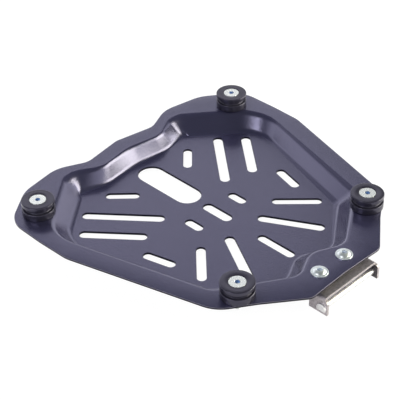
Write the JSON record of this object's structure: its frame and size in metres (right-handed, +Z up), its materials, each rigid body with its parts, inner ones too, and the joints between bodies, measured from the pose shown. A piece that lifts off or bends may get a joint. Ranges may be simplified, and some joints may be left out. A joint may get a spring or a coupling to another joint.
{
  "type": "top case mounting plate",
  "caption": "Pressed steel mounting plate for a motorcycle top case: slotted tray with a wide rim, grooved seat pucks and a round latch bar on a folded bracket.",
  "frame": {"origin": "centre of the bounding box in X and Y, at the lowest point (under the latch ears)", "axes": "+X to the right of the plate across its symmetry plane, +Y to the wide end, away from the latch, +Z up out of the tray"},
  "size_m": [0.273, 0.272, 0.033],
  "materials": {
    "powder_coat": "satin black powder coat with a cool violet cast, fine orange-peel texture",
    "puck_rubber": "black rubber, fine moulded grain, slightly polished edges",
    "zinc": "bright zinc plated steel",
    "bare_steel": "bare rolled steel, grey-brown, slightly dull",
    "bright_bar": "bright turned steel rod"
  },
  "bodies": {
    "root": {"plate": "powder_coat", "puck_wide_left": "puck_rubber", "puck_wide_right": "puck_rubber", "puck_narrow_left": "puck_rubber", "puck_narrow_right": "puck_rubber", "puck_screw_wide_left": "zinc", "puck_screw_wide_right": "zinc", "puck_screw_narrow_left": "zinc", "puck_screw_narrow_right": "zinc", "puck_washer_wide_left": "zinc", "puck_washer_wide_right": "zinc", "puck_washer_narrow_left": "zinc", "puck_washer_narrow_right": "zinc", "puck_nut_wide_left": "zinc", "puck_nut_wide_right": "zinc", "puck_nut_narrow_left": "zinc", "puck_nut_narrow_right": "zinc", "latch_bracket": "bare_steel", "latch_bar": "bright_bar", "latch_spacer_left": "bare_steel", "latch_spacer_right": "bare_steel", "latch_screw_left": "zinc", "latch_screw_right": "zinc", "latch_washer_left": "zinc", "latch_washer_right": "zinc", "latch_nut_left": "zinc", "latch_nut_right": "zinc"}
  },
  "joints": []
}
